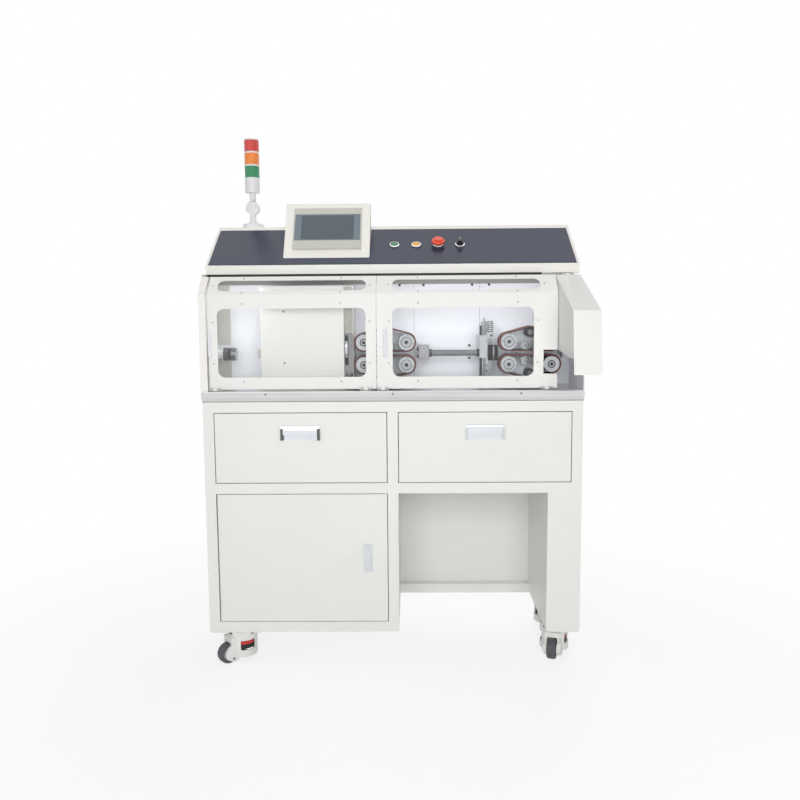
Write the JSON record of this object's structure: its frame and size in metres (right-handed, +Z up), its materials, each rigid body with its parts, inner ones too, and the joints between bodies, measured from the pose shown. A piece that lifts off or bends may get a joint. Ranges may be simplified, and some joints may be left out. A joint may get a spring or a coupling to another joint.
{
  "type": "wire cutting stripping machine",
  "caption": "Wire cutting and stripping machine with belt feeds behind clear swing guards, sloping console, signal tower, and a cabinet with drawers on levelling casters.",
  "frame": {"origin": "on the floor under the middle of the machine's box", "axes": "+Z up, +X to the operator's right, +Y away from the operator"},
  "size_m": [1.074, 0.555, 1.5505],
  "materials": {
    "cream_paint": "semi-gloss powder coat",
    "wall_white": "smooth white",
    "stainless": "brushed",
    "steel": "machined",
    "aluminium": "satin anodised",
    "chrome": "polished",
    "slate_panel": "gloss",
    "bezel_grey": "satin",
    "white_plastic": "gloss",
    "black_plastic": "satin",
    "green_plastic": "gloss",
    "amber_plastic": "gloss",
    "red_plastic": "gloss",
    "green_lens": "ribbed",
    "amber_lens": "ribbed",
    "red_lens": "ribbed",
    "clear_pane": "clear",
    "belt_rubber": "matt",
    "wheel_rubber": "matt"
  },
  "bodies": {
    "frame": {"cabinet_carcass": "cream_paint", "cabinet_face_frame": "cream_paint", "table_top": "stainless", "front_rail": "stainless", "caster_plates": "cream_paint", "mechanism_wall": "wall_white", "left_end_wall": "cream_paint", "right_end_plate": "cream_paint", "rear_cover": "cream_paint", "console_shell": "cream_paint", "console_panel": "slate_panel", "hmi_housing": "cream_paint", "hmi_unit": "bezel_grey", "control_bezels": "chrome", "tower_base": "white_plastic", "cover_hinges": "steel", "outlet_nozzle": "steel", "cutter_housing": "cream_paint", "guide_tube": "steel", "guide_post": "steel", "feed_plates": "aluminium", "feed_belts": "belt_rubber", "press_rollers": "steel"},
    "drawer_left": {"drawer_left": "cream_paint", "drawer_left_pull": "aluminium"},
    "drawer_right": {"drawer_right": "cream_paint", "drawer_right_pull": "aluminium"},
    "door": {"cupboard_door": "cream_paint"},
    "latch_lever": {"door_latch_lever": "chrome"},
    "start": {"start_button": "green_plastic"},
    "pause": {"pause_button": "amber_plastic"},
    "stop": {"stop_button": "red_plastic"},
    "selector": {"selector_knob": "black_plastic"},
    "tower": {"tower_post": "white_plastic", "lens_green": "green_lens", "lens_amber": "amber_lens", "lens_red": "red_lens"},
    "left_guard": {"left_cover": "cream_paint", "left_pane": "clear_pane"},
    "middle_guard": {"middle_cover": "cream_paint", "middle_pane": "clear_pane"},
    "hood": {"infeed_hood": "cream_paint"},
    "blade_up": {"upper_blade": "steel"},
    "blade_low": {"lower_blade": "steel"},
    "yoke_fl": {"caster_yoke_fl": "cream_paint"},
    "wheel_fl": {"caster_wheel_fl": "wheel_rubber"},
    "yoke_fr": {"caster_yoke_fr": "cream_paint"},
    "wheel_fr": {"caster_wheel_fr": "wheel_rubber"},
    "yoke_rl": {"caster_yoke_rl": "cream_paint"},
    "wheel_rl": {"caster_wheel_rl": "wheel_rubber"},
    "yoke_rr": {"caster_yoke_rr": "cream_paint"},
    "wheel_rr": {"caster_wheel_rr": "wheel_rubber"},
    "outfeed_upper_drive_roll": {"outfeed_upper_drive_pulley": "aluminium"},
    "outfeed_upper_plain_roll": {"outfeed_upper_plain_pulley": "aluminium"},
    "outfeed_lower_drive_roll": {"outfeed_lower_drive_pulley": "aluminium"},
    "outfeed_lower_plain_roll": {"outfeed_lower_plain_pulley": "aluminium"},
    "infeed_upper_drive_roll": {"infeed_upper_drive_pulley": "aluminium"},
    "infeed_upper_plain_roll": {"infeed_upper_plain_pulley": "aluminium"},
    "infeed_lower_drive_roll": {"infeed_lower_drive_pulley": "aluminium"},
    "infeed_lower_plain_roll": {"infeed_lower_plain_pulley": "aluminium"}
  },
  "joints": [
    {"name": "drawer_left_slide", "type": "slide", "parent": "frame", "child": "drawer_left", "axis": [0, -1, 0], "range_m": [0, 0.22]},
    {"name": "drawer_right_slide", "type": "slide", "parent": "frame", "child": "drawer_right", "axis": [0, -1, 0], "range_m": [0, 0.22]},
    {"name": "door_swing", "type": "hinge", "parent": "frame", "child": "door", "pos_m": [-0.498, -0.0675, 0.316], "axis": [0, 0, -1], "range_deg": [0, 100]},
    {"name": "latch_lift", "type": "hinge", "parent": "door", "child": "latch_lever", "pos_m": [-0.073, -0.0773, 0.28996], "axis": [1, 0, 0], "range_deg": [0, 40]},
    {"name": "left_guard_swing", "type": "hinge", "parent": "frame", "child": "left_guard", "pos_m": [-0.28, -0.0685, 0.803], "axis": [1, 0, 0], "range_deg": [0, 90]},
    {"name": "middle_guard_swing", "type": "hinge", "parent": "frame", "child": "middle_guard", "pos_m": [0.21, -0.0685, 0.803], "axis": [1, 0, 0], "range_deg": [0, 90]},
    {"name": "hood_lift", "type": "hinge", "parent": "frame", "child": "hood", "pos_m": [0.5005, 0.0055, 1.12], "axis": [-1, 0, 0], "range_deg": [0, 60]},
    {"name": "start_press", "type": "slide", "parent": "frame", "child": "start", "axis": [0, 0.5621, -0.8271], "range_m": [0, 0.0035], "stiffness_N_per_m": 400, "springref_m": -0.003},
    {"name": "pause_press", "type": "slide", "parent": "frame", "child": "pause", "axis": [0, 0.5621, -0.8271], "range_m": [0, 0.0035], "stiffness_N_per_m": 400, "springref_m": -0.003},
    {"name": "stop_press", "type": "slide", "parent": "frame", "child": "stop", "axis": [0, 0.5621, -0.8271], "range_m": [0, 0.0035]},
    {"name": "selector_turn", "type": "hinge", "parent": "frame", "child": "selector", "pos_m": [0.1994, 0.09715, 1.21189], "axis": [0, -0.5621, 0.8271], "range_deg": [-45, 45]},
    {"name": "tower_fold", "type": "hinge", "parent": "frame", "child": "tower", "pos_m": [-0.4355, 0.2275, 1.34153], "axis": [0, 1, 0], "range_deg": [-90, 0]},
    {"name": "caster_swivel_fl", "type": "hinge", "parent": "frame", "child": "yoke_fl", "pos_m": [-0.45, -0.0285, 0.09], "axis": [0, 0, 1], "continuous": true},
    {"name": "caster_roll_fl", "type": "hinge", "parent": "yoke_fl", "child": "wheel_fl", "pos_m": [-0.48716, -0.06196, 0.03], "axis": [0.6691, -0.7431, 0], "continuous": true},
    {"name": "caster_swivel_fr", "type": "hinge", "parent": "frame", "child": "yoke_fr", "pos_m": [0.478, 0.0115, 0.09], "axis": [0, 0, 1], "continuous": true},
    {"name": "caster_roll_fr", "type": "hinge", "parent": "yoke_fr", "child": "wheel_fr", "pos_m": [0.46338, -0.03632, 0.03], "axis": [0.9563, -0.2924, 0], "continuous": true},
    {"name": "caster_swivel_rl", "type": "hinge", "parent": "frame", "child": "yoke_rl", "pos_m": [-0.475, 0.2175, 0.09], "axis": [0, 0, 1], "continuous": true},
    {"name": "caster_roll_rl", "type": "hinge", "parent": "yoke_rl", "child": "wheel_rl", "pos_m": [-0.47674, 0.16753, 0.03], "axis": [0.9994, -0.0349, 0], "continuous": true},
    {"name": "caster_swivel_rr", "type": "hinge", "parent": "frame", "child": "yoke_rr", "pos_m": [0.492, 0.2175, 0.09], "axis": [0, 0, 1], "continuous": true},
    {"name": "caster_roll_rr", "type": "hinge", "parent": "yoke_rr", "child": "wheel_rr", "pos_m": [0.49025, 0.16753, 0.03], "axis": [0.9994, -0.0349, 0], "continuous": true},
    {"name": "outfeed_upper_drive_spin", "type": "hinge", "parent": "frame", "child": "outfeed_upper_drive_roll", "pos_m": [0.0398, 0.0345, 0.9305], "axis": [0, 1, 0], "continuous": true},
    {"name": "outfeed_upper_plain_spin", "type": "hinge", "parent": "frame", "child": "outfeed_upper_plain_roll", "pos_m": [-0.0832, 0.0345, 0.9305], "axis": [0, 1, 0], "continuous": true},
    {"name": "outfeed_lower_drive_spin", "type": "hinge", "parent": "frame", "child": "outfeed_lower_drive_roll", "pos_m": [0.0398, 0.0345, 0.8655], "axis": [0, 1, 0], "continuous": true},
    {"name": "outfeed_lower_plain_spin", "type": "hinge", "parent": "frame", "child": "outfeed_lower_plain_roll", "pos_m": [-0.0832, 0.0345, 0.8655], "axis": [0, 1, 0], "continuous": true},
    {"name": "infeed_upper_drive_spin", "type": "hinge", "parent": "frame", "child": "infeed_upper_drive_roll", "pos_m": [0.3354, 0.0345, 0.9305], "axis": [0, 1, 0], "continuous": true},
    {"name": "infeed_upper_plain_spin", "type": "hinge", "parent": "frame", "child": "infeed_upper_plain_roll", "pos_m": [0.4584, 0.0345, 0.9305], "axis": [0, 1, 0], "continuous": true},
    {"name": "infeed_lower_drive_spin", "type": "hinge", "parent": "frame", "child": "infeed_lower_drive_roll", "pos_m": [0.3354, 0.0345, 0.8655], "axis": [0, 1, 0], "continuous": true},
    {"name": "infeed_lower_plain_spin", "type": "hinge", "parent": "frame", "child": "infeed_lower_plain_roll", "pos_m": [0.4584, 0.0345, 0.8655], "axis": [0, 1, 0], "continuous": true},
    {"name": "upper_blade_close", "type": "slide", "parent": "frame", "child": "blade_up", "axis": [0, 0, -1], "range_m": [0, 0.007]},
    {"name": "lower_blade_close", "type": "slide", "parent": "frame", "child": "blade_low", "axis": [0, 0, 1], "range_m": [0, 0.007]}
  ],
  "couplings": [
    {"joint": "outfeed_upper_plain_spin", "follows": "outfeed_upper_drive_spin", "ratio": 1},
    {"joint": "outfeed_lower_drive_spin", "follows": "outfeed_upper_drive_spin", "ratio": -1},
    {"joint": "outfeed_lower_plain_spin", "follows": "outfeed_upper_drive_spin", "ratio": -1},
    {"joint": "infeed_upper_plain_spin", "follows": "infeed_upper_drive_spin", "ratio": 1},
    {"joint": "infeed_lower_drive_spin", "follows": "infeed_upper_drive_spin", "ratio": -1},
    {"joint": "infeed_lower_plain_spin", "follows": "infeed_upper_drive_spin", "ratio": -1},
    {"joint": "lower_blade_close", "follows": "upper_blade_close", "ratio": 1}
  ]
}
